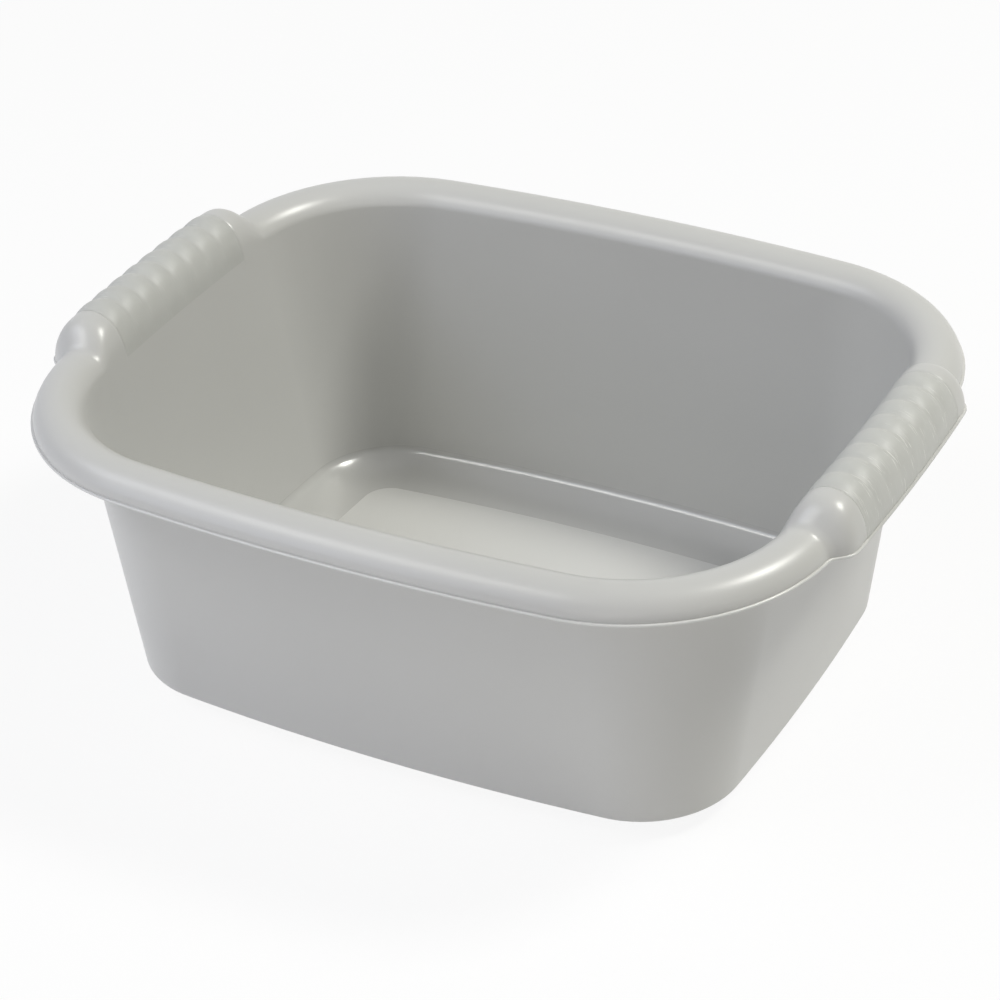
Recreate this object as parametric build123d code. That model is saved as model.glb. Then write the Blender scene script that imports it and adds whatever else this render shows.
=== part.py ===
from build123d import *

import os
from math import acos, asin, atan, cos, degrees, radians, sin, tan
from typing import NamedTuple

# Rim, measured over the thin hem at the bottom of its turned-down skirt
rim_length = 370.0
rim_width = 312.0
rim_corner = 90.0
rim_height = 145.4
rim_rise = 10.4
rim_reach = 24.3
rim_skin = 2.2
hem_height = 1.2
hem_step = 1.0

# How far the sides bow outwards, as half of the angle that each side turns through
long_bow_angle = 5.0
short_bow_angle = 3.0

# Where the side arcs of the rim's and the handles' arched sections meet their crowns, up from level
rim_turn = 27.0
handle_turn = 31.5

# Walls, from the crease above the base up to the rim
wall_skin = 2.2
rim_root = 3.0

# Base: a flat panel that the bowl stands on, and a dished band round it up to the crease
crease_length = 290.7
crease_width = 233.5
crease_corner = 45.5
crease_height = 10.0
outer_crease_radius = 1.5
inner_crease_radius = 5.0
band_width = 25.6
band_foot_angle = 4.0
band_levels = 4
panel_corner = 13.5
panel_skin = 2.2

# Handles: the rim swells upwards and outwards in the middle of each short side. Each shoulder is
# drawn through sections at these shares of its length, and the fuller it is the blunter it ends
handle_reach = 7.5
handle_rise = 20.0
shoulder_length = 20.0
shoulder_shares = (1.0, 0.8, 0.6, 0.4, 0.2, 0.0)
reach_fullness = 3.0
rise_fullness = 2.0

# Grips: ribbed sleeves let into the handles between their shoulders
grip_length = 100.0
grip_skin = 1.6
rib_count = 8
rib_height = 1.4
rib_valley = 0.2

# How far a cutter runs past what it cuts, and how near two places are to count as one
overrun = 1.0
seam = 0.005

# Heights that follow from the sizes above
spring_height = rim_height - rim_rise
joint_height = spring_height - rim_root


class Arc(NamedTuple):
    """One arc of an outline, seen from above."""

    centre: tuple
    radius: float
    start: float
    sweep: float


def outline(length, width, corner):
    """The eight arcs of a rounded rectangle with bowed sides, anticlockwise from its +X side."""
    half_length = length / 2 - corner
    half_width = width / 2 - corner
    sine_long = sin(radians(long_bow_angle))
    sine_short = sin(radians(short_bow_angle))
    fall_long = 1 - cos(radians(long_bow_angle))
    fall_short = 1 - cos(radians(short_bow_angle))
    divisor = sine_long * sine_short - fall_long * fall_short
    long_extra = (half_length * sine_short - half_width * fall_short) / divisor
    short_extra = (half_width * sine_long - half_length * fall_long) / divisor
    corner_x = long_extra * sine_long
    corner_y = short_extra * sine_short
    side_x = length / 2 - corner - short_extra
    side_y = width / 2 - corner - long_extra
    turn = 90 - long_bow_angle - short_bow_angle
    arcs = []
    for half_turn in (0, 180):
        sign = 1 if half_turn == 0 else -1
        first_corner = half_turn + short_bow_angle
        long_side = first_corner + turn
        second_corner = long_side + 2 * long_bow_angle
        arcs += [
            Arc((sign * side_x, 0), corner + short_extra, half_turn - short_bow_angle, 2 * short_bow_angle),
            Arc((sign * corner_x, sign * corner_y), corner, first_corner, turn),
            Arc((0, sign * side_y), corner + long_extra, long_side, 2 * long_bow_angle),
            Arc((-sign * corner_x, sign * corner_y), corner, second_corner, turn),
        ]
    return arcs


def outline_face(sizes, height):
    """The flat face inside an outline of the given length, width and corner, at a height."""
    edges = [
        CenterArc((*arc.centre, height), arc.radius, arc.start, arc.sweep)
        for arc in outline(*sizes)
    ]
    return Face(Wire(edges))


def shifted(sizes, shift):
    """An outline's sizes with every side moved outwards by the same amount."""
    length, width, corner = sizes
    return length + 2 * shift, width + 2 * shift, corner + shift


def between(low, high, share):
    """The sizes at a share of the way from one outline to another, which may be past it."""
    return tuple(a + (b - a) * share for a, b in zip(low, high))


# Outlines of the rim, the crease and the panel
rim_sizes = (rim_length, rim_width, rim_corner)
crease_sizes = (crease_length, crease_width, crease_corner)
panel_sizes = (
    crease_length - 2 * band_width,
    crease_width - 2 * band_width,
    panel_corner,
)

# The wall's draft is the mean of its lean at the ends and at the sides
wall_drop = joint_height - crease_height
outer_inset = rim_reach - wall_skin
mean_lean = ((rim_length + rim_width - crease_length - crease_width) / 4 - outer_inset) / wall_drop
draft = degrees(atan(mean_lean))
wall_across = wall_skin / cos(radians(draft))

# Outlines of the wall's two faces where the rim starts
inner_top = shifted(rim_sizes, -rim_reach - rim_root * tan(radians(draft)))
outer_top = shifted(inner_top, wall_across)


def band_outlines(skin, wall_inset):
    """Outlines and heights up the band's arc, from the panel to the crease, inset by the skins."""
    foot = radians(band_foot_angle)
    top = 2 * atan(crease_height / band_width) - foot
    radius = band_width / (sin(top) - sin(foot))
    first = acos((radius * cos(foot) - skin) / (radius - skin))
    last = asin((radius * sin(top) - wall_inset) / (radius - skin))
    rows = []
    for level in range(band_levels + 1):
        angle = first + (last - first) * level / band_levels
        reach = (radius - skin) * sin(angle) - radius * sin(foot)
        height = radius * cos(foot) - (radius - skin) * cos(angle)
        rows.append((between(panel_sizes, crease_sizes, reach / band_width), height))
    return rows


def tub(skin, wall_inset, top_sizes, past, crease_radius):
    """The space inside one face of the tub, whose wall may run past its top."""
    rows = band_outlines(skin, wall_inset)
    crease, height = rows[-1]
    base = loft([outline_face(*row) for row in rows])
    share = 1 + past / (joint_height - height)
    top_face = outline_face(between(crease, top_sizes, share), joint_height + past)
    wall = loft([outline_face(crease, height), top_face], ruled=True)
    whole = base + wall
    return fillet(ring_edges(whole, height), crease_radius)


def wall_and_base():
    """The tub below the rim: its outer face's space less its inner face's."""
    outer = tub(0, 0, outer_top, 0, outer_crease_radius)
    inner = tub(panel_skin, wall_across, inner_top, overrun, inner_crease_radius)
    return outer - inner


def ring_edges(solid, height):
    """The edges of a solid that lie level at a height."""
    boxes = [(edge, edge.bounding_box()) for edge in solid.edges()]
    return [
        edge
        for edge, box in boxes
        if abs(box.min.Z - height) < seam and abs(box.max.Z - height) < seam
    ]


class Roll:
    """The rolled section of the rim or a handle, cut across, x from its arc's centre, y up."""

    def __init__(self, radius, reach=0.0, rise=rim_rise, turn=rim_turn):
        self.inner_face = radius - rim_reach
        self.skirt = radius + reach - hem_step
        self.turn = turn
        slant = 1 / cos(radians(draft)) - 1
        spread = sin(radians(turn)) + cos(radians(turn)) - 1
        pull = cos(radians(turn)) / spread
        width_share = (self.skirt - self.inner_face) / 2 * (1 - pull)
        self.side_radius = (width_share + rise * pull) / (1 + slant / 2 * (1 - pull))
        half_span = (self.skirt - self.inner_face - self.side_radius * slant) / 2
        self.crown_radius = rise + (half_span - rise) / spread * sin(radians(turn))
        self.inner_centre = self.inner_face + self.side_radius / cos(radians(draft))
        self.outer_centre = self.skirt - self.side_radius
        self.crown_centre = (self.inner_centre + self.outer_centre) / 2
        self.crown_base = spring_height + rise - self.crown_radius

    def arch(self, inset=0.0):
        """The three arcs of the arch, from its inner foot to its outer foot, moved inwards."""
        side = self.side_radius - inset
        crown = self.crown_radius - inset
        crown_turn = 180 - 2 * self.turn
        return [
            CenterArc((self.inner_centre, spring_height), side, 180 - draft, draft - self.turn),
            CenterArc((self.crown_centre, self.crown_base), crown, 180 - self.turn, -crown_turn),
            CenterArc((self.outer_centre, spring_height), side, self.turn, -self.turn),
        ]

    def inner_line(self, low, inset=0.0):
        """The wall's slanted line from a height up to the arch's inner foot, moved inwards."""
        lean = (low - spring_height) * tan(radians(draft))
        start = self.inner_face + lean + inset / cos(radians(draft))
        return Line((start, low), self.arch(inset)[0] @ 0)

    def shell_face(self, skin, inset=0.0):
        """The moulding's section: wall root, arch of the given skin, skirt and hem."""
        hem_edge = self.skirt + hem_step
        hem_bottom = spring_height - hem_height
        under = self.inner_line(joint_height, skin + inset)
        under_arch = self.arch(skin + inset)
        root = self.inner_line(joint_height)
        arch = self.arch(inset)
        edges = [root]
        if inset:
            ledge = self.inner_line(spring_height, inset)
            foot = self.inner_line(spring_height) @ 0
            edges = [Line(root @ 0, foot), Line(foot, ledge @ 0), ledge]
        edges += arch
        edges += Polyline(
            arch[-1] @ 1,
            (hem_edge, spring_height),
            (hem_edge, hem_bottom),
            (self.skirt - skin - inset, hem_bottom),
            under_arch[-1] @ 1,
        ).edges()
        edges += under_arch
        edges += [under, Line(under @ 0, root @ 0)]
        return Face(Wire(edges))

    def filled_face(self, low, inset=0.0):
        """The section filled solid under its arch, down to a height."""
        side = self.inner_line(low, inset)
        arch = self.arch(inset)
        floor = Polyline(arch[-1] @ 1, (self.skirt - inset, low), side @ 0) if low < spring_height else None
        closing = floor.edges() if floor else [Line(arch[-1] @ 1, side @ 0)]
        return Face(Wire([side, *arch, *closing]))


def path_length():
    """The length of the rim's path, along the hem."""
    return sum(arc.radius * radians(arc.sweep) for arc in outline(*rim_sizes))


def path_pieces(start, end):
    """The stretches of arcs between two places on the path, which starts amid the +X side."""
    arcs = outline(*rim_sizes)
    place = -arcs[0].radius * radians(arcs[0].sweep) / 2 - arcs[-1].radius * radians(arcs[-1].sweep)
    pieces = []
    for arc in arcs[-1:] + arcs + arcs[:1]:
        arc_length = arc.radius * radians(arc.sweep)
        low = max(start, place)
        high = min(end, place + arc_length)
        if high - low > seam:
            first = arc.start + degrees((low - place) / arc.radius)
            pieces.append(Arc(arc.centre, arc.radius, first, degrees((high - low) / arc.radius)))
        place += arc_length
    return pieces


def across(arc):
    """The upright plane across the path where an arc starts, x outwards from its centre."""
    angle = radians(arc.start)
    outwards = (cos(angle), sin(angle), 0)
    return Plane((*arc.centre, 0), x_dir=outwards, z_dir=(sin(angle), -cos(angle), 0))


def along_path(section, start, end):
    """Solids that carry a section along the path, one for each arc that it crosses."""
    return [
        revolve(across(arc) * section(arc.radius), Axis((*arc.centre, 0), (0, 0, 1)), arc.sweep)
        for arc in path_pieces(start, end)
    ]


def station(section, place):
    """A section set across the path at one place."""
    arc = path_pieces(place, place + overrun)[0]
    return across(arc) * section(arc.radius)


def swelling(share, fullness):
    """How far a shoulder has swelled at a share of its length from the rim: gentle at both ends."""
    full = 1 - (1 - share) ** fullness
    return full * full * (3 - 2 * full)


def shoulder_section(share):
    """The moulding's section at a share of the way from the rim up to the handle."""
    way_out = swelling(share, reach_fullness)
    way_up = swelling(share, rise_fullness)

    def section(radius):
        roll = Roll(
            radius,
            handle_reach * way_out,
            rim_rise + (handle_rise - rim_rise) * way_up,
            rim_turn + (handle_turn - rim_turn) * way_up,
        )
        return roll.shell_face(rim_skin + grip_skin * way_up)

    return section


def shoulder(grip_end, rim_end):
    """The smooth neck between a grip and the plain rim."""
    sections = [
        station(shoulder_section(share), rim_end + (grip_end - rim_end) * share)
        for share in shoulder_shares
    ]
    return loft(sections)


def handle_roll(radius):
    """The handle's section between its shoulders."""
    return Roll(radius, handle_reach, handle_rise, handle_turn)


def core_section(radius):
    """The handle's section under a grip."""
    return handle_roll(radius).shell_face(rim_skin, grip_skin)


def rim_section(radius):
    """The rim's section between the handles."""
    return Roll(radius).shell_face(rim_skin)


def bowl_shell():
    """The one moulding: tub, rolled rim and the two handles."""
    half_grip = grip_length / 2
    half_handle = half_grip + shoulder_length
    half_way = path_length() / 2
    rim = [
        *along_path(rim_section, half_handle, half_way - half_handle),
        *along_path(core_section, -half_grip, half_grip),
        shoulder(half_grip, half_handle),
        shoulder(-half_grip, -half_handle),
    ]
    turned = [Rot(Z=180) * piece for piece in rim]
    return wall_and_base().fuse(*rim, *turned, tol=seam)


def rib(start, end):
    """One rib of a grip: low, high and low again, filled solid."""

    def section(rise):
        return lambda radius: Roll(radius, handle_reach, rise, handle_turn).filled_face(spring_height)

    valley = section(handle_rise - rib_valley)
    crest = section(handle_rise - rib_valley + rib_height)
    return loft([station(valley, start), station(crest, (start + end) / 2), station(valley, end)])


def grip():
    """A grip's sleeve: its ribs, less the handle that they wrap."""
    pitch = grip_length / rib_count
    starts = [pitch * number - grip_length / 2 for number in range(rib_count)]
    ribs = [rib(start, start + pitch) for start in starts]
    wrapped = along_path(
        lambda radius: handle_roll(radius).filled_face(joint_height, grip_skin),
        -grip_length / 2 - overrun,
        grip_length / 2 + overrun,
    )
    return ribs[0].fuse(*ribs[1:]).cut(*wrapped)


def main():
    os.makedirs("parts", exist_ok=True)
    right_grip = grip()
    export_step(bowl_shell(), "parts/bowl_shell.step")
    export_step(right_grip, "parts/right_grip.step")
    export_step(Rot(Z=180) * right_grip, "parts/left_grip.step")


main()
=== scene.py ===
"""A washing up bowl: one moulded shell with a rolled rim, and a soft ribbed grip at each end.

Sizes are in metres and angles in degrees. All three pieces are drawn from the same few outlines
and sections, so a grip always lies on the handle that carries it.
"""

import logging
import math
from dataclasses import dataclass, field
from enum import Enum
from typing import NamedTuple

import bmesh
import bpy
from mathutils import Matrix, Vector

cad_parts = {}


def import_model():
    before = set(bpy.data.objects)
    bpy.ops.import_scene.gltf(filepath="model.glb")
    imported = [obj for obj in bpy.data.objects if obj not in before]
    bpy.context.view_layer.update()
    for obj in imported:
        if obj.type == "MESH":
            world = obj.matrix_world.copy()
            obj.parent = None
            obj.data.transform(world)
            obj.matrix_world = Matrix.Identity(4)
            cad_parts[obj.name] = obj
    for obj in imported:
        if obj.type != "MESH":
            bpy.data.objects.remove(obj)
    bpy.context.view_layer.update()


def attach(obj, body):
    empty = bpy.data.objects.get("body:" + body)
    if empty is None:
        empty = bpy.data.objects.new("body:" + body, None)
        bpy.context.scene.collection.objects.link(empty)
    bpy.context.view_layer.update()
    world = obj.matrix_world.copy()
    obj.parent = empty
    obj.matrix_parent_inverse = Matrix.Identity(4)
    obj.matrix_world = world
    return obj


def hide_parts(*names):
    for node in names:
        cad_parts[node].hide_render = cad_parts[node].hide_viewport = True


LOG = logging.getLogger("washing_up_bowl")

Point = tuple[float, float]
Colour = tuple[float, float, float]
Socket = bpy.types.NodeSocket
Value = float | tuple[float, ...] | Socket

WHITE = (1.0, 1.0, 1.0, 1.0)
NOISE_RANGE = (0.3, 0.7)
ROUND_SHARES = (0.0, 1 / 3, 2 / 3, 1.0)
JOIN_DISTANCE = 1e-6
CM3_PER_M3 = 1e6


def sine(angle: float) -> float:
    """The sine of an angle in degrees."""
    return math.sin(math.radians(angle))


def cosine(angle: float) -> float:
    """The cosine of an angle in degrees."""
    return math.cos(math.radians(angle))


def tangent(angle: float) -> float:
    """The tangent of an angle in degrees."""
    return math.tan(math.radians(angle))


def swelling(share: float, fullness: float) -> float:
    """How far a shoulder has swelled at a share of its length from the rim: gentle at both ends."""
    full = 1 - (1 - share) ** fullness
    return full * full * (3 - 2 * full)


def blended(first: float, second: float, share: float) -> float:
    """The value at a share of the way from the first to the second."""
    return first + (second - first) * share


class Arc(NamedTuple):
    """One arc of an outline, seen from above."""

    centre: Point
    radius: float
    start: float
    sweep: float

    def point(self, angle: float) -> Point:
        """The point of the arc at an angle."""
        x, y = self.centre
        return x + self.radius * cosine(angle), y + self.radius * sine(angle)


Band = list[tuple[list[Arc], float]]


@dataclass(frozen=True)
class Plan:
    """A rounded rectangle with bowed sides, seen from above."""

    length: float
    width: float
    corner: float
    long_bow: float = 5.0
    short_bow: float = 3.0

    def arcs(self) -> list[Arc]:
        """Works out the eight arcs of the outline.

        Returns:
            The arcs anticlockwise, from the one amid the +X side.
        """
        half_length = self.length / 2 - self.corner
        half_width = self.width / 2 - self.corner
        fall_long = 1 - cosine(self.long_bow)
        fall_short = 1 - cosine(self.short_bow)
        divisor = sine(self.long_bow) * sine(self.short_bow) - fall_long * fall_short
        long_extra = (half_length * sine(self.short_bow) - half_width * fall_short) / divisor
        short_extra = (half_width * sine(self.long_bow) - half_length * fall_long) / divisor
        corner_x = long_extra * sine(self.long_bow)
        corner_y = short_extra * sine(self.short_bow)
        side_x = half_length - short_extra
        side_y = half_width - long_extra
        turn = 90 - self.long_bow - self.short_bow
        made: list[Arc] = []
        for half_turn, sign in ((0.0, 1.0), (180.0, -1.0)):
            first_corner = half_turn + self.short_bow
            long_side = first_corner + turn
            second_corner = long_side + 2 * self.long_bow
            short_start = half_turn - self.short_bow
            made += [
                Arc((sign * side_x, 0.0), self.corner + short_extra, short_start, 2 * self.short_bow),
                Arc((sign * corner_x, sign * corner_y), self.corner, first_corner, turn),
                Arc((0.0, sign * side_y), self.corner + long_extra, long_side, 2 * self.long_bow),
                Arc((-sign * corner_x, sign * corner_y), self.corner, second_corner, turn),
            ]
        return made

    def shifted(self, shift: float) -> "Plan":
        """The outline with every side moved outwards by the same amount."""
        return Plan(self.length + 2 * shift, self.width + 2 * shift, self.corner + shift)

    def toward(self, other: "Plan", share: float) -> "Plan":
        """The outline at a share of the way to another one."""
        return Plan(
            blended(self.length, other.length, share),
            blended(self.width, other.width, share),
            blended(self.corner, other.corner, share),
        )


@dataclass(frozen=True)
class BowlSizes:
    """The bowl's own sizes, which its shell and its grips share."""

    rim: Plan = Plan(0.370, 0.312, 0.090)
    rim_height: float = 0.1454
    rim_rise: float = 0.0104
    rim_turn: float = 27.0
    rim_reach: float = 0.0243
    rim_skin: float = 0.0022
    rim_root: float = 0.003
    hem_height: float = 0.0012
    hem_step: float = 0.001
    wall_skin: float = 0.0022
    crease: Plan = Plan(0.2907, 0.2335, 0.0455)
    crease_height: float = 0.010
    outer_crease_radius: float = 0.0015
    inner_crease_radius: float = 0.005
    band_width: float = 0.0256
    band_foot_angle: float = 4.0
    panel_corner: float = 0.0135
    panel_skin: float = 0.0022
    handle_reach: float = 0.0075
    handle_rise: float = 0.020
    handle_turn: float = 31.5
    shoulder_length: float = 0.020
    reach_fullness: float = 3.0
    rise_fullness: float = 2.0
    grip_length: float = 0.100
    grip_skin: float = 0.0016
    rib_count: int = 8
    rib_height: float = 0.0014
    rib_valley: float = 0.0002

    @property
    def spring_height(self) -> float:
        """The height at which the rim's arch starts."""
        return self.rim_height - self.rim_rise

    @property
    def joint_height(self) -> float:
        """The height at which the wall passes into the rim."""
        return self.spring_height - self.rim_root

    @property
    def draft(self) -> float:
        """Works out the wall's mean lean from upright.

        Returns:
            The angle between the wall and upright.
        """
        spread = self.rim.length + self.rim.width - self.crease.length - self.crease.width
        drop = self.joint_height - self.crease_height
        return math.degrees(math.atan((spread / 4 - self.rim_reach + self.wall_skin) / drop))

    @property
    def wall_across(self) -> float:
        """The wall's thickness measured level."""
        return self.wall_skin / cosine(self.draft)

    @property
    def inner_top(self) -> Plan:
        """The outline of the wall's inner face where the rim starts."""
        return self.rim.shifted(-self.rim_reach - self.rim_root * tangent(self.draft))

    @property
    def outer_top(self) -> Plan:
        """The outline of the wall's outer face where the rim starts."""
        return self.inner_top.shifted(self.wall_across)

    @property
    def panel(self) -> Plan:
        """The outline of the flat panel that the bowl stands on."""
        inset = 2 * self.band_width
        return Plan(self.crease.length - inset, self.crease.width - inset, self.panel_corner)

    @property
    def rib_pitch(self) -> float:
        """The distance from one rib to the next."""
        return self.grip_length / self.rib_count

    @property
    def handle_arc(self) -> Arc:
        """The arc of the rim's outline that carries the +X handle."""
        return self.rim.arcs()[0]


@dataclass(frozen=True)
class Roll:
    """The rolled section of the rim or a handle, cut across, x from its arc's centre, y up."""

    sizes: BowlSizes
    radius: float
    reach: float
    rise: float
    turn: float

    @property
    def inner_face(self) -> float:
        """The x of the wall's inner face at the height where the arch starts."""
        return self.radius - self.sizes.rim_reach

    @property
    def skirt(self) -> float:
        """The x of the skirt's outer face."""
        return self.radius + self.reach - self.sizes.hem_step

    def arch(self, inset: float, side_steps: int, crown_steps: int) -> list[Point]:
        """Draws the arch from its inner foot over its crown to its outer foot.

        Args:
            inset: How far the arch is moved inwards.
            side_steps: The number of steps round each side arc.
            crown_steps: The number of steps over the crown.

        Returns:
            The points of the arch.
        """
        draft = self.sizes.draft
        spring = self.sizes.spring_height
        turn = self.turn
        slant = 1 / cosine(draft) - 1
        spread = sine(turn) + cosine(turn) - 1
        pull = cosine(turn) / spread
        width = self.skirt - self.inner_face
        side_radius = (width / 2 * (1 - pull) + self.rise * pull) / (1 + slant / 2 * (1 - pull))
        half_span = (width - side_radius * slant) / 2
        crown_radius = self.rise + (half_span - self.rise) / spread * sine(turn)
        inner_centre = self.inner_face + side_radius / cosine(draft)
        outer_centre = self.skirt - side_radius
        crown = ((inner_centre + outer_centre) / 2, spring + self.rise - crown_radius)
        side = side_radius - inset
        runs = (
            ((inner_centre, spring), side, 180 - draft, 180 - turn, side_steps),
            (crown, crown_radius - inset, 180 - turn, turn, crown_steps),
            ((outer_centre, spring), side, turn, 0.0, side_steps),
        )
        points: list[Point] = []
        for (x, y), radius, start, end, steps in runs:
            for step in range(steps):
                angle = blended(start, end, step / steps)
                points.append((x + radius * cosine(angle), y + radius * sine(angle)))
        points.append((self.skirt - inset, spring))
        return points

    def inner_x(self, height: float, inset: float) -> float:
        """The x of the wall's slanted inner face at a height, moved outwards by an inset."""
        lean = (height - self.sizes.spring_height) * tangent(self.sizes.draft)
        return self.inner_face + lean + inset / cosine(self.sizes.draft)


class TreeBuilder:
    """Adds nodes to a tree and gives their inputs values or links."""

    def __init__(self, tree: bpy.types.NodeTree) -> None:
        """Starts from a tree as it is."""
        self.nodes = tree.nodes
        self.links = tree.links

    def give(self, node: bpy.types.Node, inputs: dict[str | int, Value]) -> None:
        """Gives a node's inputs values or links.

        Args:
            node: The node.
            inputs: What its inputs get, by name or place: a value, or a socket to link.
        """
        for name, value in inputs.items():
            if isinstance(value, Socket):
                self.links.new(value, node.inputs[name])
            else:
                node.inputs[name].default_value = value

    def add(
        self, kind: str, inputs: dict[str | int, Value] | None = None, operation: str = ""
    ) -> bpy.types.Node:
        """Adds a node.

        Args:
            kind: The type of the node.
            inputs: What its inputs get, by name or place.
            operation: Its operation, for a node that has one.

        Returns:
            The node.
        """
        node = self.nodes.new(kind)
        if operation:
            node.operation = operation
        self.give(node, inputs or {})
        return node

    def sums(self, operation: str, *values: Value) -> Socket:
        """Adds a sum of numbers.

        Args:
            operation: The name of the sum.
            *values: The numbers, each a socket or a value.

        Returns:
            The result.
        """
        return self.add("ShaderNodeMath", dict(enumerate(values)), operation).outputs[0]

    def seen(self) -> Socket:
        """Adds what tells the things seen, directly or in a gloss, from those that only get light.

        Returns:
            The socket that is 1 for what is seen and 0 for the rest.
        """
        path = self.add("ShaderNodeLightPath").outputs
        either = self.sums("MAXIMUM", path["Is Camera Ray"], path["Is Glossy Ray"])
        return self.sums("MAXIMUM", either, path["Is Transmission Ray"])

    def mixed(self, share: Socket, first: bpy.types.Node, second: bpy.types.Node) -> Socket:
        """Adds a mix of two shaders, the first where the share is 0 and the second where it is 1."""
        inputs = {0: share, 1: first.outputs[0], 2: second.outputs[0]}
        return self.add("ShaderNodeMixShader", inputs).outputs[0]


class SurfaceNodes(TreeBuilder):
    """Builds the tree of a surface round the Principled shader."""

    def __init__(self, material: bpy.types.Material) -> None:
        """Starts from a new material, whose tree holds one Principled shader.

        Args:
            material: The material.
        """
        material.use_nodes = True
        super().__init__(material.node_tree)
        self.shader = self.nodes["Principled BSDF"]
        self.places = self.add("ShaderNodeTexCoord").outputs["Object"]

    def noise(self, places: Socket, size: float, detail: float) -> Socket:
        """Adds a cloudy noise.

        Args:
            places: Where it is read.
            size: The size of its clouds.
            detail: How many finer levels it has.

        Returns:
            Its value, from 0 to 1.
        """
        inputs = {"Vector": places, "Scale": 1 / size, "Detail": detail}
        return self.add("ShaderNodeTexNoise", inputs).outputs["Fac"]

    def stretched(self, scales: tuple[float, float, float]) -> Socket:
        """Adds places whose coordinates run faster, so that what is read there runs in streaks."""
        return self.add("ShaderNodeMapping", {"Vector": self.places, "Scale": scales}).outputs["Vector"]

    def split(self) -> list[Socket]:
        """The three coordinates of a place on the surface."""
        return list(self.add("ShaderNodeSeparateXYZ", {0: self.places}).outputs)

    def ranged(self, value: Socket, start: Point, end: Point) -> Socket:
        """Adds a straight change of a value, held at both ends.

        Args:
            value: The value.
            start: The value and what it becomes at the start.
            end: The same at the end.

        Returns:
            The changed value.
        """
        ends = {"From Min": start[0], "From Max": end[0], "To Min": start[1], "To Max": end[1]}
        return self.add("ShaderNodeMapRange", {"Value": value, **ends}).outputs["Result"]

    def around(self, noise: Socket, middle: float, share: float) -> Socket:
        """Adds a value that strays from its middle, by a share of it either way, as a noise does."""
        low, high = NOISE_RANGE
        return self.ranged(noise, (low, middle * (1 - share)), (high, middle * (1 + share)))

    def tinted(self, colour: Colour, lightness: Socket) -> None:
        """Colours the shader, with a lightness that multiplies the colour."""
        node = self.add("ShaderNodeVectorMath", {0: colour, "Scale": lightness}, "SCALE")
        self.give(self.shader, {"Base Color": node.outputs[0]})

    def relief(self, height: Socket, depth: float) -> None:
        """Gives the shader a fine relief, whose height runs from 0 to 1 over a depth."""
        bump = self.add("ShaderNodeBump", {"Distance": depth, "Height": height})
        self.give(self.shader, {"Normal": bump.outputs["Normal"]})


@dataclass(frozen=True)
class SoftLamp:
    """A square soft lamp that faces the bowl: the way to it, its side, its power in watts and its tint."""

    name: str
    direction: tuple[float, float, float]
    side: float
    power: float
    tint: Colour = (1.0, 1.0, 1.0)
    distance: float = 2.2

    def hang(self, aim: Vector) -> bpy.types.Object:
        """Hangs the lamp.

        Args:
            aim: The point that the lamp faces.

        Returns:
            The lamp.
        """
        data = bpy.data.lights.new(self.name, "AREA")
        data.shape = "SQUARE"
        data.size = self.side
        data.energy = self.power
        data.color = self.tint
        hung = bpy.data.objects.new(self.name, data)
        bpy.context.scene.collection.objects.link(hung)
        outwards = Vector(self.direction).normalized()
        hung.location = outwards * self.distance
        hung.rotation_mode = "QUATERNION"
        hung.rotation_quaternion = (hung.location - aim).to_track_quat("Z", "Y")
        return hung


STUDIO_LAMPS = (
    SoftLamp("key_lamp", (0.48, 0.30, 0.82), 0.5, 32.0, (1.0, 0.995, 0.93)),
    SoftLamp("left_front_top_lamp", (-0.37, -0.49, 0.79), 0.7, 8.7, (1.0, 1.0, 0.98)),
    SoftLamp("left_lamp", (-0.62, -0.30, 0.72), 0.7, 6.8, (0.85, 0.88, 1.0)),
    SoftLamp("left_front_lamp", (-0.50, -0.75, 0.45), 1.2, 9.8, (0.80, 0.85, 1.0)),
    SoftLamp("low_front_lamp", (0.20, -0.97, 0.12), 1.2, 8.0, (1.0, 0.93, 0.87)),
)


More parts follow.
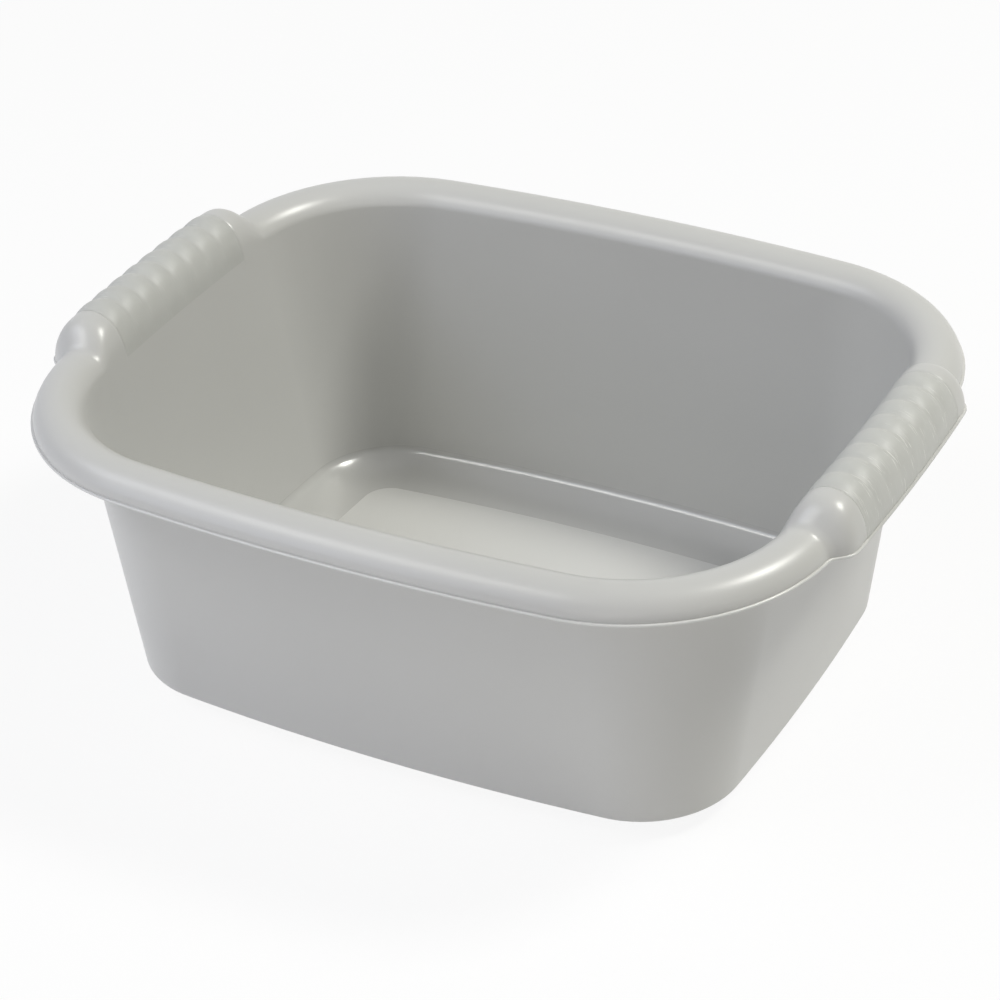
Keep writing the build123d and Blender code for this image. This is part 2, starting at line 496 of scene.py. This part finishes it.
@dataclass
class Studio:
    """The floor, the soft lamps and the camera."""

    azimuth: float = 28.891
    elevation: float = 32.486
    roll: float = -2.379
    distance: float = 1.351186
    target: tuple[float, float, float] = (0.023459, -0.046858, 0.107335)
    focal_share: float = 3.195018
    sensor: float = 36.0
    floor_half: float = 12.0
    floor_white: float = 0.93
    floor_glow_share: float = 0.9
    sky_strength: float = 0.05
    aim_height: float = 0.08
    lamps: tuple[SoftLamp, ...] = STUDIO_LAMPS

    def camera(self) -> bpy.types.Object:
        """Sets the camera at the photograph's viewing angle.

        Returns:
            The camera.
        """
        data = bpy.data.cameras.new("camera")
        data.sensor_width = self.sensor
        data.sensor_fit = "HORIZONTAL"
        data.lens = self.focal_share * self.sensor
        data.clip_end = 2 * self.floor_half
        shown = bpy.data.objects.new("camera", data)
        bpy.context.scene.collection.objects.link(shown)
        back = Vector(
            (
                sine(self.azimuth) * cosine(self.elevation),
                -cosine(self.azimuth) * cosine(self.elevation),
                sine(self.elevation),
            )
        )
        level = Vector((cosine(self.azimuth), sine(self.azimuth), 0))
        upright = back.cross(level)
        right = level * cosine(self.roll) + upright * sine(self.roll)
        above = upright * cosine(self.roll) - level * sine(self.roll)
        place = Matrix((right, above, back)).transposed().to_4x4()
        place.translation = Vector(self.target) + back * self.distance
        shown.matrix_world = place
        bpy.context.scene.camera = shown
        return shown

    def floor(self) -> bpy.types.Object:
        """Lays the plain white floor, which keeps the bowl's shadow.

        Returns:
            The floor.
        """
        half = self.floor_half
        mesh = bpy.data.meshes.new("studio_floor")
        corners = [(-half, -half, 0.0), (half, -half, 0.0), (half, half, 0.0), (-half, half, 0.0)]
        mesh.from_pydata(corners, [], [(0, 1, 2, 3)])
        material = bpy.data.materials.new("studio_floor")
        material.use_nodes = True
        tree = TreeBuilder(material.node_tree)
        tree.nodes.clear()
        white = self.floor_white
        paper = tree.add("ShaderNodeBsdfDiffuse", {"Color": (white, white, white, 1.0)})
        glow = tree.add("ShaderNodeEmission")
        share = tree.sums("MULTIPLY", tree.seen(), self.floor_glow_share)
        tree.add("ShaderNodeOutputMaterial", {"Surface": tree.mixed(share, paper, glow)})
        mesh.materials.append(material)
        laid = bpy.data.objects.new("studio_floor", mesh)
        bpy.context.scene.collection.objects.link(laid)
        return laid

    def sky(self) -> None:
        """Surrounds the scene with an even pale light, seen as white."""
        world = bpy.data.worlds.new("studio")
        world.use_nodes = True
        tree = TreeBuilder(world.node_tree)
        tree.nodes.clear()
        even = tree.add("ShaderNodeBackground", {"Color": WHITE, "Strength": self.sky_strength})
        even.name = "even_light"
        white = tree.add("ShaderNodeBackground", {"Color": WHITE})
        white.name = "seen_white"
        tree.add("ShaderNodeOutputWorld", {"Surface": tree.mixed(tree.seen(), even, white)})
        bpy.context.scene.world = world

    def build(self) -> None:
        """Sets up the whole studio."""
        self.camera()
        self.floor()
        self.sky()
        for lamp in self.lamps:
            lamp.hang(Vector((0, 0, self.aim_height)))
        bpy.context.scene.view_settings.view_transform = "Standard"


@dataclass(frozen=True)
class MouldedPlastic:
    """A moulded plastic: faint clouds in its colour and gloss, a very fine skin, a few marks and, where low
    and high ask for it, painted shade that darkens it lower down.
    """

    name: str
    colour: Colour
    roughness: float
    gloss: float = 0.5
    cloud_size: float = 0.09
    cloud_share: float = 0.008
    gloss_cloud_size: float = 0.045
    gloss_share: float = 0.06
    cloud_detail: float = 1.0
    skin_size: float = 0.0009
    skin_depth: float = 0.00001
    skin_detail: float = 3.0
    speck_size: float = 0.0007
    speck_spacing: float = 0.055
    speck_share: float = 0.25
    speck_core_share: float = 0.6
    # Painted shade by height: low and high each give a height and the lightness there; the defaults leave it
    # even.
    low: Point = (0.0, 1.0)
    high: Point = (0.001, 1.0)

    def lightness(self, nodes: SurfaceNodes) -> Socket:
        """Works out how light each place is, painted shade by height included.

        Args:
            nodes: The tree.

        Returns:
            The lightness, near 1.
        """
        clouds = nodes.noise(nodes.places, self.cloud_size, self.cloud_detail)
        light = nodes.around(clouds, 1.0, self.cloud_share)
        cells = nodes.add("ShaderNodeTexVoronoi", {"Vector": nodes.places, "Scale": 1 / self.speck_spacing})
        edge = self.speck_size / self.speck_spacing
        core = (self.speck_core_share * edge, 1 - self.speck_share)
        specks = nodes.ranged(cells.outputs["Distance"], core, (edge, 1.0))
        # Painted shade: the colour darkens towards the bottom, between low's and high's heights.
        painted_shade_by_height = nodes.ranged(nodes.split()[2], self.low, self.high)
        return nodes.sums("MULTIPLY", nodes.sums("MULTIPLY", light, specks), painted_shade_by_height)

    def material(self) -> bpy.types.Material:
        """Builds the finish from nodes.

        Returns:
            The material.
        """
        material = bpy.data.materials.new(self.name)
        nodes = SurfaceNodes(material)
        nodes.tinted(self.colour, self.lightness(nodes))
        clouds = nodes.noise(nodes.places, self.gloss_cloud_size, self.cloud_detail)
        rough = nodes.around(clouds, self.roughness, self.gloss_share)
        nodes.give(nodes.shader, {"Roughness": rough, "Specular IOR Level": self.gloss})
        nodes.relief(nodes.noise(nodes.places, self.skin_size, self.skin_detail), self.skin_depth)
        return material


@dataclass(frozen=True)
class RibbedElastomer:
    """A soft matt elastomer with short fine light lines round the sleeve, most in its outer valleys."""

    name: str
    colour: Colour
    roughness: float
    pitch: float
    outer_edge: Point
    cloud_size: float = 0.012
    cloud_share: float = 0.02
    cloud_detail: float = 4.0
    line_size: float = 0.0004
    line_length: float = 0.007
    line_detail: float = 1.0
    line_range: Point = (0.62, 0.74)
    line_share: float = 0.5
    line_gloss_share: float = 0.8
    line_depth: float = 0.00005
    line_rest_share: float = 0.15
    valley_core: float = 0.00225
    valley_width: float = 0.0045
    glow_share: float = 0.4
    glow_depth: float = 0.0025

    def lines(self, nodes: SurfaceNodes) -> Socket:
        """Draws the fine lines, which run round the sleeve.

        Args:
            nodes: The tree.

        Returns:
            The lines, from 0 to 1.
        """
        places = nodes.stretched((1.0, self.line_length / self.line_size, 1.0))
        streaks = nodes.noise(places, self.line_length, self.line_detail)
        streaks = nodes.ranged(streaks, (self.line_range[0], 0.0), (self.line_range[1], 1.0))
        across, along, _ = nodes.split()
        near = nodes.sums("PINGPONG", along, self.pitch / 2)
        rest = self.line_rest_share
        valley = nodes.ranged(near, (self.valley_core, 1.0), (self.valley_width, rest))
        outer = nodes.ranged(
            nodes.sums("ABSOLUTE", across), (self.outer_edge[0], rest), (self.outer_edge[1], 1.0)
        )
        return nodes.sums("MULTIPLY", nodes.sums("MULTIPLY", streaks, valley), outer)

    def material(self) -> bpy.types.Material:
        """Builds the finish from nodes.

        Returns:
            The material.
        """
        material = bpy.data.materials.new(self.name)
        nodes = SurfaceNodes(material)
        lines = self.lines(nodes)
        clouds = nodes.noise(nodes.places, self.cloud_size, self.cloud_detail)
        light = nodes.around(clouds, 1.0, self.cloud_share)
        bright = nodes.ranged(lines, (0.0, 1.0), (1.0, 1 + self.line_share))
        nodes.tinted(self.colour, nodes.sums("MULTIPLY", light, bright))
        rough = nodes.ranged(lines, (0.0, self.roughness), (1.0, self.line_gloss_share * self.roughness))
        inputs = {
            "Roughness": rough,
            "Subsurface Weight": self.glow_share,
            "Subsurface Radius": (1.0, 1.0, 1.0),
            "Subsurface Scale": self.glow_depth,
        }
        nodes.give(nodes.shader, inputs)
        nodes.relief(lines, self.line_depth)
        return material


class Side(Enum):
    """The four kinds of arc, which follow each other twice round an outline."""

    SHORT = 0
    FIRST_CORNER = 1
    LONG = 2
    SECOND_CORNER = 3


class Station(NamedTuple):
    """One place round the bowl at which its section is drawn."""

    arc: int
    angle: float
    way_out: float
    way_up: float
    inset: float
    notch: float


class Zone(Enum):
    """The parts of the moulding that are finished differently, by their place among its materials; the band,
    panel and hem also carry painted shade, painted light and a painted highlight in their colours.
    """

    OUTSIDE = 0
    BAND = 1
    PANEL = 2
    HEM = 3


@dataclass
class BowlShell:
    """The one moulding: base, walls, rolled rim and the two handles."""

    finishes: dict[Zone, MouldedPlastic]
    sizes: BowlSizes = field(default_factory=BowlSizes)
    short_side_steps: int = 124
    corner_steps: int = 56
    long_side_steps: int = 20
    floor_rows: int = 6
    floor_crowding: int = 3
    band_rows: int = 12
    wall_rows: int = 6
    crease_rows: int = 8
    foot_rows: int = 3
    side_steps: int = 8
    crown_steps: int = 18
    hem_rows: int = 7
    edge_round: float = 0.0003
    hem_round: float = 0.0006
    seam_round: float = 0.0001
    seam_shares: tuple[float, ...] = (1.0, 1 / 3, 0.0, -0.01)
    sharp_angle: float = 50.0

    def stations(self) -> list[Station]:
        """Lists the places round the rim, closer together along the handles.

        Returns:
            The stations anticlockwise, with four close together where a grip ends.
        """
        arcs = self.sizes.rim.arcs()
        half_grip = self.sizes.grip_length / 2
        steps = {
            Side.SHORT: self.short_side_steps,
            Side.FIRST_CORNER: self.corner_steps,
            Side.LONG: self.long_side_steps,
            Side.SECOND_CORNER: self.corner_steps,
        }
        made: list[Station] = []
        for index, arc in enumerate(arcs):
            side = Side(index % len(Side))
            count = steps[side]
            middle = arc.start + arc.sweep / 2
            angles = [arc.start + arc.sweep * step / count for step in range(count)]
            if side is Side.SHORT:
                ends = (-half_grip, half_grip)
                marks = [(end, math.degrees(end / arc.radius) + middle) for end in ends]
                clear = arc.sweep / count / 2
                angles = [angle for angle in angles if all(abs(angle - mark) > clear for _, mark in marks)]
                rounds = math.degrees(self.seam_round / arc.radius)
                for end, mark in marks:
                    away = rounds if end > 0 else -rounds
                    angles += [mark + away * share for share in self.seam_shares]
            made += [self.station(index, angle, self.place(arcs, index, angle)) for angle in sorted(angles)]
        return made

    def place(self, arcs: list[Arc], index: int, angle: float) -> float:
        """Measures the way along the rim from the middle of the nearest handle.

        Args:
            arcs: The arcs of the rim.
            index: The number of the arc.
            angle: The angle on that arc.

        Returns:
            The distance.
        """
        arc = arcs[index]
        side = Side(index % len(Side))
        half_short = math.radians(self.sizes.rim.short_bow) * self.sizes.handle_arc.radius
        if side is Side.SHORT:
            return abs(math.radians(angle - arc.start) * arc.radius - half_short)
        turned = angle - arc.start if side is Side.FIRST_CORNER else arc.start + arc.sweep - angle
        if side is Side.LONG:
            turned = arc.sweep / 2 - abs(angle - arc.start - arc.sweep / 2)
            corner = arcs[Side.FIRST_CORNER.value]
            half_short += math.radians(corner.sweep) * corner.radius
        return half_short + math.radians(turned) * arc.radius

    def station(self, index: int, angle: float, place: float) -> Station:
        """Works out how far the handle has swelled at one place.

        Args:
            index: The number of the outline's arc.
            angle: The angle on that arc.
            place: The distance from the middle of the nearest handle.

        Returns:
            The station.
        """
        sizes = self.sizes
        past = place - sizes.grip_length / 2
        if past < self.seam_round * self.seam_shares[-1] / 2:
            return Station(index, angle, 1.0, 1.0, sizes.grip_skin, 0.0)
        share = max(0.0, 1 - past / sizes.shoulder_length)
        depth = max(0.0, 1 - past / self.seam_round) ** 2
        way_out = swelling(share, sizes.reach_fullness)
        way_up = swelling(share, sizes.rise_fullness)
        return Station(index, angle, way_out, way_up, 0.0, depth * self.seam_round)

    def rim_section(self, station: Station) -> list[Point]:
        """Draws the rim's section from the inner joint over the crown to the outer joint.

        Args:
            station: The place round the rim.

        Returns:
            The points, x outwards from the arc's centre and y up.
        """
        sizes = self.sizes
        radius = sizes.rim.arcs()[station.arc].radius
        roll = Roll(
            sizes,
            radius,
            sizes.handle_reach * station.way_out,
            blended(sizes.rim_rise, sizes.handle_rise, station.way_up),
            blended(sizes.rim_turn, sizes.handle_turn, station.way_up),
        )
        inset = station.inset + station.notch
        under = sizes.rim_skin + (station.inset or sizes.grip_skin * station.way_up)
        spring = sizes.spring_height
        joint = sizes.joint_height
        hem_edge = roll.skirt + sizes.hem_step
        hem_bottom = spring - sizes.hem_height
        skirt_inner = roll.skirt - under
        edge = self.edge_round
        points = [(roll.inner_x(joint, 0), joint)]
        points.append((roll.inner_x(spring, 0), spring))
        points.append((roll.inner_x(spring, inset), spring))
        points += roll.arch(inset, self.side_steps, self.crown_steps)
        points += rounded((hem_edge, spring), self.hem_round, (-1, 0), (0, -1))
        points += rounded((hem_edge, hem_bottom), edge, (0, 1), (-1, 0))
        points += rounded((skirt_inner, hem_bottom), edge, (1, 0), (0, 1))
        arch = roll.arch(under, self.side_steps, self.crown_steps)
        points += arch[::-1]
        points.append((roll.inner_x(joint, under), joint))
        return points

    def band(self, skin: float, wall_inset: float) -> Band:
        """Works out the dished band's outlines.

        Args:
            skin: How far the face lies inside the outer one.
            wall_inset: How far the wall's face lies inside its outer one, measured level.

        Returns:
            Arcs and heights, from the panel out to the crease.
        """
        sizes = self.sizes
        foot = math.radians(sizes.band_foot_angle)
        top = 2 * math.atan(sizes.crease_height / sizes.band_width) - foot
        radius = sizes.band_width / (math.sin(top) - math.sin(foot))
        first = math.acos((radius * math.cos(foot) - skin) / (radius - skin))
        last = math.asin((radius * math.sin(top) - wall_inset) / (radius - skin))
        made = []
        for row in range(self.band_rows + 1):
            angle = blended(first, last, row / self.band_rows)
            reach = (radius - skin) * math.sin(angle) - radius * math.sin(foot)
            height = radius * math.cos(foot) - (radius - skin) * math.cos(angle)
            plan = sizes.panel.toward(sizes.crease, reach / sizes.band_width)
            made.append((plan.arcs(), height))
        return made

    def side(self, station: Station, band: Band, top: Vector, crease_radius: float) -> list[Vector]:
        """Draws one face of the base and wall at a station, its crease rounded.

        Args:
            station: The place round the bowl.
            band: The band's outlines and heights.
            top: Where the wall's face meets the rim.
            crease_radius: The radius of the crease.

        Returns:
            The points from the panel's edge up to the rim.
        """
        low = [Vector((*arcs[station.arc].point(station.angle), height)) for arcs, height in band]
        crease = low[-1]
        along = (crease - low[-2]).normalized()
        up = (top - crease).normalized()
        turn = along.angle(up)
        cut = crease_radius * math.tan(turn / 2)
        points = [point for point in low if (crease - point).length > cut]
        first = crease - along * cut
        last = crease + up * cut
        weight = math.cos(turn / 2)
        missing = len(low) - len(points)
        rows = self.crease_rows + missing
        for row in range(rows):
            share = (row + 0.5) / rows if row else 0.0
            shares = ((1 - share) ** 2, 2 * share * (1 - share) * weight, share**2)
            total = sum(shares)
            points.append((first * shares[0] + crease * shares[1] + last * shares[2]) / total)
        for row in range(self.wall_rows + 1):
            points.append(last.lerp(top, row / self.wall_rows))
        return points

    def section(self, station: Station, bands: tuple[Band, Band]) -> list[Vector]:
        """Draws the whole closed section at a station.

        Args:
            station: The place round the bowl.
            bands: The outlines of the band's inner and outer faces.

        Returns:
            The points from near the floor's middle, over the rim, to near the base's middle.
        """
        sizes = self.sizes
        arc = sizes.rim.arcs()[station.arc]
        outwards = Vector((cosine(station.angle), sine(station.angle), 0))
        centre = Vector((*arc.centre, 0))
        rim = [centre + outwards * x + Vector((0, 0, y)) for x, y in self.rim_section(station)]
        inner = self.side(station, bands[0], rim[0], sizes.inner_crease_radius)
        outer_arc = sizes.outer_top.arcs()[station.arc]
        outer_start = Vector((*outer_arc.point(station.angle), sizes.joint_height))
        outer = self.side(station, bands[1], outer_start, sizes.outer_crease_radius)
        floor, base = self.panel_rows(inner[0]), self.panel_rows(outer[0])
        return floor + inner[:-1] + rim + outer[::-1] + base[::-1]

    def panel_rows(self, edge: Vector) -> list[Vector]:
        """Draws one face of the panel at a station, its rows closer together near the edge.

        Args:
            edge: The point at the panel's edge.

        Returns:
            The points from near the panel's middle to near its edge.
        """
        ways = [1 - (row + 1) / (self.floor_rows + 1) for row in range(self.floor_rows)]
        shares = [1 - way**self.floor_crowding for way in ways]
        return [Vector((edge.x * share, edge.y * share, edge.z)) for share in shares]

    def zone(self, row: int, station: Station) -> Zone:
        """Finds the zone of the faces between one row of the section and the next.

        Args:
            row: The first row.
            station: The place round the bowl. Under the handles the hem is finished like the rest.

        Returns:
            The zone.
        """
        if row < self.floor_rows:
            return Zone.PANEL
        joint_row = self.floor_rows + self.band_rows + self.crease_rows + self.wall_rows + 1
        if row < joint_row - self.wall_rows:
            return Zone.BAND
        hem_row = joint_row + self.foot_rows + 2 * self.side_steps + self.crown_steps
        if hem_row <= row < hem_row + self.hem_rows and station.way_up < 1:
            return Zone.HEM
        return Zone.OUTSIDE

    def build(self) -> bpy.types.Object:
        """Builds the shell as one closed mesh.

        Returns:
            The shell.
        """
        sizes = self.sizes
        bands = (self.band(sizes.panel_skin, sizes.wall_across), self.band(0.0, 0.0))
        stations = self.stations()
        rings = [self.section(station, bands) for station in stations]
        rows = len(rings[0])
        count = len(rings)
        points = [point for ring in rings for point in ring]
        middle_floor = len(points)
        points += [Vector((0, 0, rings[0][0].z)), Vector((0, 0, rings[0][-1].z))]
        faces: list[tuple[int, ...]] = []
        zones: list[int] = []
        for ring in range(count):
            here = ring * rows
            there = (ring + 1) % count * rows
            faces.append((middle_floor, here, there))
            faces.append((middle_floor + 1, there + rows - 1, here + rows - 1))
            zones += [Zone.PANEL.value, Zone.OUTSIDE.value]
            for row in range(rows - 1):
                faces.append((here + row, here + row + 1, there + row + 1, there + row))
                zones.append(self.zone(row, stations[ring]).value)
        mesh = bpy.data.meshes.new("bowl_shell_moulding")
        mesh.from_pydata([tuple(point) for point in points], [], faces)
        mesh.polygons.foreach_set("material_index", zones)
        finish_mesh(mesh, self.sharp_angle)
        for zone in Zone:
            mesh.materials.append(self.finishes[zone].material())
        shell = bpy.data.objects.new("bowl_shell_moulding", mesh)
        bpy.context.scene.collection.objects.link(shell)
        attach(shell, "root")
        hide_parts("bowl_shell")
        return shell


def rounded(corner: Point, radius: float, before: Point, after: Point) -> list[Point]:
    """Rounds one square corner of a section.

    Args:
        corner: The corner's point.
        radius: The radius of the rounding.
        before: The direction from the corner back to where the section comes from.
        after: The direction from the corner to where it goes.

    Returns:
        The points round the corner.
    """
    x, y = corner
    centre = (x + radius * (before[0] + after[0]), y + radius * (before[1] + after[1]))
    points = []
    for share in ROUND_SHARES:
        first = radius * cosine(90 * share)
        second = radius * sine(90 * share)
        points.append(
            (
                centre[0] - after[0] * first - before[0] * second,
                centre[1] - after[1] * first - before[1] * second,
            )
        )
    return points


def finish_mesh(mesh: bpy.types.Mesh, sharp_angle: float) -> None:
    """Joins points that lie together, closes what is open and shades the mesh smoothly.

    Args:
        mesh: The mesh to finish.
        sharp_angle: The angle between two faces past which the edge between them stays sharp.
    """
    work = bmesh.new()
    work.from_mesh(mesh)
    bmesh.ops.remove_doubles(work, verts=work.verts, dist=JOIN_DISTANCE)
    open_edges = [edge for edge in work.edges if edge.is_boundary]
    if open_edges:
        bmesh.ops.holes_fill(work, edges=open_edges, sides=0)
    bmesh.ops.recalc_face_normals(work, faces=work.faces)
    for face in work.faces:
        face.smooth = True
    for edge in work.edges:
        edge.smooth = edge.calc_face_angle(0.0) < math.radians(sharp_angle)
    work.to_mesh(mesh)
    work.free()
    LOG.info("%s: %d faces, volume %.2f cm3", mesh.name, len(mesh.polygons), volume(mesh) * CM3_PER_M3)


def volume(mesh: bpy.types.Mesh) -> float:
    """Measures the space inside a closed mesh.

    Args:
        mesh: The mesh.

    Returns:
        The volume, which is negative where the faces point inwards.
    """
    work = bmesh.new()
    work.from_mesh(mesh)
    inside = work.calc_volume(signed=True)
    work.free()
    return inside


RIB_INPUTS = {
    "Rib": "Geometry",
    "Rib Count": "Int",
    "Rib Turn": "Float",
    "End Turn": "Float",
    "Arc Centre": "Vector",
    "Weld Distance": "Float",
    "Finish": "Material",
}


class End(Enum):
    """The two ends of the bowl, and how far each is turned from +X."""

    RIGHT = 0.0
    LEFT = 180.0


@dataclass
class SoftGrip:
    """A soft ribbed sleeve moulded over one handle."""

    end: End
    finish: RibbedElastomer
    sizes: BowlSizes = field(default_factory=BowlSizes)
    rib_steps: int = 48
    side_steps: int = 14
    crown_steps: int = 16
    valley_share: float = 0.2
    line_count: int = 4
    line_depth: float = 0.00003
    weld_distance: float = 1e-5
    sharp_angle: float = 40.0

    @property
    def name(self) -> str:
        """The name of this end's grip."""
        return f"{self.end.name.lower()}_grip"

    def rib_section(self, share: float) -> list[Point]:
        """Draws the sleeve's closed section at a share of the way across one rib.

        Args:
            share: The share, from one valley at 0 to the next at 1.

        Returns:
            The points, from the inner foot over the crown to the outer foot and back inside.
        """
        sizes = self.sizes
        flank = 2 * min(share, 1 - share)
        valley = self.valley_share + flank**2 * (1 - self.valley_share) / self.valley_share
        crest = valley if flank < self.valley_share else 2 * flank - flank**2
        roll = Roll(
            sizes,
            sizes.handle_arc.radius,
            sizes.handle_reach,
            sizes.handle_rise - sizes.rib_valley + sizes.rib_height * crest - self.line(share),
            sizes.handle_turn,
        )
        core = Roll(
            sizes, sizes.handle_arc.radius, sizes.handle_reach, sizes.handle_rise, sizes.handle_turn
        )
        spring = sizes.spring_height
        points = [(roll.inner_x(spring, 0), spring)]
        points += roll.arch(0, self.side_steps, self.crown_steps)
        points += core.arch(sizes.grip_skin, self.side_steps // 2, self.crown_steps // 2)[::-1]
        points.append((core.inner_x(spring, sizes.grip_skin), spring))
        return points

    def line(self, share: float) -> float:
        """The depth of the fine moulded lines at a share of the way across one rib."""
        wave = (1 + cosine(360 * 2 * self.line_count * share)) / 2
        return self.line_depth * (2 * share - 1) ** 2 * wave

    def rib(self) -> bpy.types.Mesh:
        """Builds one rib of the sleeve, open at both valleys, at the middle of the handle.

        Returns:
            The rib's mesh, drawn about the centre of the handle's arc.
        """
        sizes = self.sizes
        radius = sizes.handle_arc.radius
        points: list[tuple[float, float, float]] = []
        for step in range(self.rib_steps + 1):
            share = step / self.rib_steps
            angle = (share - 0.5) * sizes.rib_pitch / radius
            for x, z in self.rib_section(share):
                points.append((x * math.cos(angle), x * math.sin(angle), z))
        ring = len(self.rib_section(0.0))
        faces = []
        for step in range(self.rib_steps):
            for spot in range(ring):
                here = step * ring + spot
                beside = step * ring + (spot + 1) % ring
                faces.append((here, beside, beside + ring, here + ring))
        mesh = bpy.data.meshes.new(f"{self.name}_rib")
        mesh.from_pydata(points, [], faces)
        return mesh

    def tree(self) -> bpy.types.NodeTree:
        """Builds the node tree that sets ribs side by side along the handle.

        Returns:
            The tree.
        """
        group = bpy.data.node_groups.new(f"{self.name}_ribs", "GeometryNodeTree")
        for name, kind in RIB_INPUTS.items():
            group.interface.new_socket(name, in_out="INPUT", socket_type=f"NodeSocket{kind}")
        group.interface.new_socket("Ribs", in_out="OUTPUT", socket_type="NodeSocketGeometry")
        tree = TreeBuilder(group)
        given = tree.add("NodeGroupInput").outputs
        line = {"Count": given["Rib Count"], "Start Location": given["Arc Centre"], "Offset": (0.0, 0.0, 0.0)}
        places = tree.add("GeometryNodeMeshLine", line).outputs["Mesh"]
        index = tree.add("GeometryNodeInputIndex").outputs[0]
        middle = tree.sums("DIVIDE", tree.sums("SUBTRACT", given["Rib Count"], 1.0), 2.0)
        past_middle = tree.sums("SUBTRACT", index, middle)
        turn = tree.sums("MULTIPLY_ADD", past_middle, given["Rib Turn"], given["End Turn"])
        rotation = tree.add("ShaderNodeCombineXYZ", {"Z": turn}).outputs[0]
        set_out = {"Points": places, "Instance": given["Rib"], "Rotation": rotation}
        ribs = tree.add("GeometryNodeInstanceOnPoints", set_out).outputs[0]
        real = tree.add("GeometryNodeRealizeInstances", {0: ribs}).outputs[0]
        weld = {"Geometry": real, "Distance": given["Weld Distance"]}
        joined = tree.add("GeometryNodeMergeByDistance", weld).outputs[0]
        dressed = tree.add("GeometryNodeSetMaterial", {"Geometry": joined, "Material": given["Finish"]})
        tree.add("NodeGroupOutput", {0: dressed.outputs[0]})
        return group

    def build(self) -> bpy.types.Object:
        """Builds the sleeve from its ribs and closes its two ends.

        Returns:
            The grip.
        """
        sizes = self.sizes
        material = self.finish.material()
        maker = bpy.data.objects.new(f"{self.name}_maker", self.rib())
        bpy.context.scene.collection.objects.link(maker)
        modifier = maker.modifiers.new("ribs", "NODES")
        modifier.node_group = self.tree()
        arc = sizes.handle_arc
        sign = cosine(self.end.value)
        values = {
            "Rib Count": sizes.rib_count,
            "Rib Turn": sizes.rib_pitch / arc.radius,
            "End Turn": math.radians(self.end.value),
            "Arc Centre": (sign * arc.centre[0], 0.0, 0.0),
            "Weld Distance": self.weld_distance,
            "Finish": material,
        }
        for item in modifier.node_group.interface.items_tree:
            if item.in_out == "INPUT" and item.name in values:
                modifier[item.identifier] = values[item.name]
        seen = maker.evaluated_get(bpy.context.evaluated_depsgraph_get())
        mesh = bpy.data.meshes.new_from_object(seen)
        mesh.name = f"{self.name}_sleeve"
        bpy.data.objects.remove(maker)
        finish_mesh(mesh, self.sharp_angle)
        grip = bpy.data.objects.new(f"{self.name}_sleeve", mesh)
        bpy.context.scene.collection.objects.link(grip)
        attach(grip, "root")
        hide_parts(self.name)
        return grip


def main() -> None:
    """Builds the bowl in its studio."""
    logging.basicConfig(level=logging.INFO, format="%(name)s: %(message)s")
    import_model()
    sizes = BowlSizes()
    plastic = (0.57, 0.57, 0.555)
    finishes = {
        Zone.OUTSIDE: MouldedPlastic("shell_gloss", plastic, roughness=0.32),
        # The band's colour darkens towards its foot: painted shade of the walls above it. Its low roughness
        # and high gloss are its own.
        Zone.BAND: MouldedPlastic(
            "band_polish_painted_shade", plastic, roughness=0.19, gloss=0.8, low=(0.003, 0.90), high=(0.012, 0.98)
        ),
        # The panel's lighter colour is painted light on the bowl's floor; its matt roughness is its own.
        Zone.PANEL: MouldedPlastic("panel_matt_painted_light", (0.64, 0.64, 0.625), roughness=0.45, skin_depth=0.00003),
        # The hem's lighter colour is a painted highlight along its edge; its lower roughness and higher gloss
        # are its own.
        Zone.HEM: MouldedPlastic("hem_edge", (0.66, 0.66, 0.645), roughness=0.24, gloss=0.7),
    }
    soft_grip = RibbedElastomer(
        "soft_grip_matt",
        (0.535, 0.54, 0.52),
        roughness=0.50,
        pitch=sizes.rib_pitch,
        outer_edge=(0.174, 0.181),
    )
    shell = BowlShell(finishes).build()
    LOG.info("built %s", shell.name)
    for end in End:
        grip = SoftGrip(end, soft_grip).build()
        LOG.info("built %s", grip.name)
    Studio().build()


if __name__ == "__main__":
    main()
